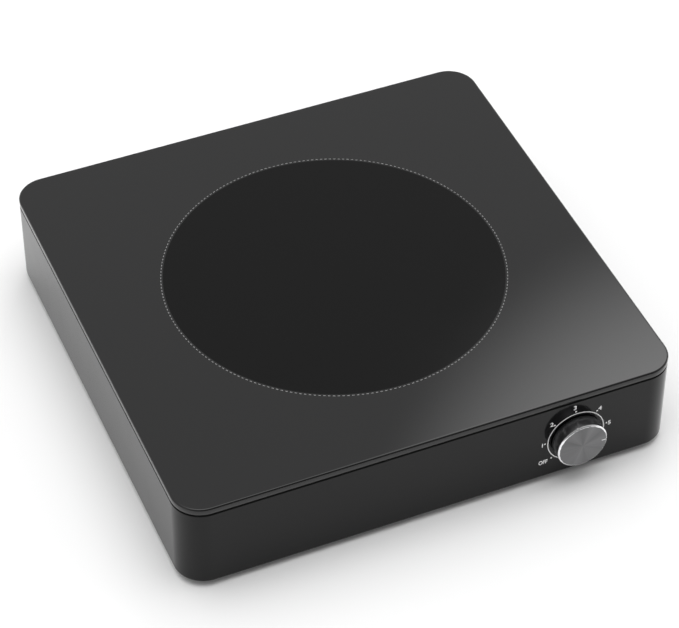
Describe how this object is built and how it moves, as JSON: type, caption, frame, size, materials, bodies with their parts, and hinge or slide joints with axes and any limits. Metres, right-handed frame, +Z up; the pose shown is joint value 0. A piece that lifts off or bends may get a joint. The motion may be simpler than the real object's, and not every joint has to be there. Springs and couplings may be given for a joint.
{
  "type": "hot plate burner",
  "caption": "Square table-top hot plate: black glass-ceramic top with a dashed cooking-zone ring, shallow black steel housing, aluminium control knob at front right.",
  "frame": {"origin": "on the surface it stands on, under the middle of the whole object, knob and cord gland included", "axes": "+Z up, +X to the right along the front, +Y from the knob side to the back"},
  "size_m": [0.29, 0.3, 0.061],
  "materials": {
    "black_glass": "gloss",
    "seal_silicone": "matte",
    "black_enamel": "gloss",
    "brushed_aluminium": "satin",
    "black_plastic": "matte",
    "black_rubber": "matte",
    "zinc_steel": "satin",
    "aluminised_steel": "satin",
    "fibre_insulation": "matte",
    "heater_alloy": "satin",
    "steatite": "satin",
    "brown_phenolic": "satin",
    "contact_brass": "satin",
    "spring_steel": "polished",
    "pale_plastic": "satin",
    "red_silicone": "satin",
    "blue_silicone": "satin",
    "white_silicone": "satin",
    "green_yellow": "satin"
  },
  "bodies": {
    "root": {"glass_plate": "black_glass", "glass_seal": "seal_silicone", "housing": "black_enamel", "base_cover": "black_enamel", "heater_dish": "aluminised_steel", "insulation_base": "fibre_insulation", "insulation_ring": "fibre_insulation", "heating_ribbon": "heater_alloy", "heater_terminal_block": "steatite", "heater_tab_front": "zinc_steel", "heater_tab_back": "zinc_steel", "limiter_rod": "steatite", "limiter_head": "steatite", "heater_strap": "zinc_steel", "heater_spring_left": "spring_steel", "heater_spring_right": "spring_steel", "strap_screw_left": "zinc_steel", "strap_screw_right": "zinc_steel", "lever_pin": "zinc_steel", "fixed_contact": "contact_brass", "regulator_case": "brown_phenolic", "regulator_cover": "brown_phenolic", "regulator_bush": "zinc_steel", "bush_nut": "zinc_steel", "regulator_tab_lower_left": "contact_brass", "regulator_tab_lower_right": "contact_brass", "regulator_tab_upper_left": "contact_brass", "regulator_tab_upper_right": "contact_brass", "cord_gland": "black_plastic", "gland_cap": "black_plastic", "gland_nut": "black_plastic", "mains_terminal_block": "pale_plastic", "block_screw": "zinc_steel", "earth_screw": "contact_brass", "wire_live": "red_silicone", "wire_neutral": "blue_silicone", "wire_limiter_feed": "white_silicone", "wire_limiter_to_heater": "white_silicone", "wire_heater_return": "white_silicone", "wire_earth": "green_yellow", "foot_front_left": "black_rubber", "foot_screw_front_left": "zinc_steel", "foot_front_right": "black_rubber", "foot_screw_front_right": "zinc_steel", "foot_back_left": "black_rubber", "foot_screw_back_left": "zinc_steel", "foot_back_right": "black_rubber", "foot_screw_back_right": "zinc_steel", "base_screw_1": "zinc_steel", "base_screw_2": "zinc_steel", "base_screw_3": "zinc_steel", "base_screw_4": "zinc_steel", "base_screw_5": "zinc_steel", "base_screw_6": "zinc_steel"},
    "knob": {"knob_cap": "brushed_aluminium", "knob_hub": "black_plastic", "knob_clip": "spring_steel", "regulator_shaft": "zinc_steel", "regulator_cam": "pale_plastic"},
    "lever": {"regulator_lever": "contact_brass"}
  },
  "joints": [
    {"name": "knob_turn", "type": "hinge", "parent": "root", "child": "knob", "pos_m": [0.084, -0.146, 0.03], "axis": [0, -1, 0], "range_deg": [0, 225]},
    {"name": "lever_swing", "type": "hinge", "parent": "root", "child": "lever", "pos_m": [0.069, -0.129, 0.0399], "axis": [0, 1, 0], "range_deg": [0, 4]}
  ],
  "couplings": [
    {"joint": "lever_swing", "follows": "knob_turn", "ratio": 0.017778}
  ]
}
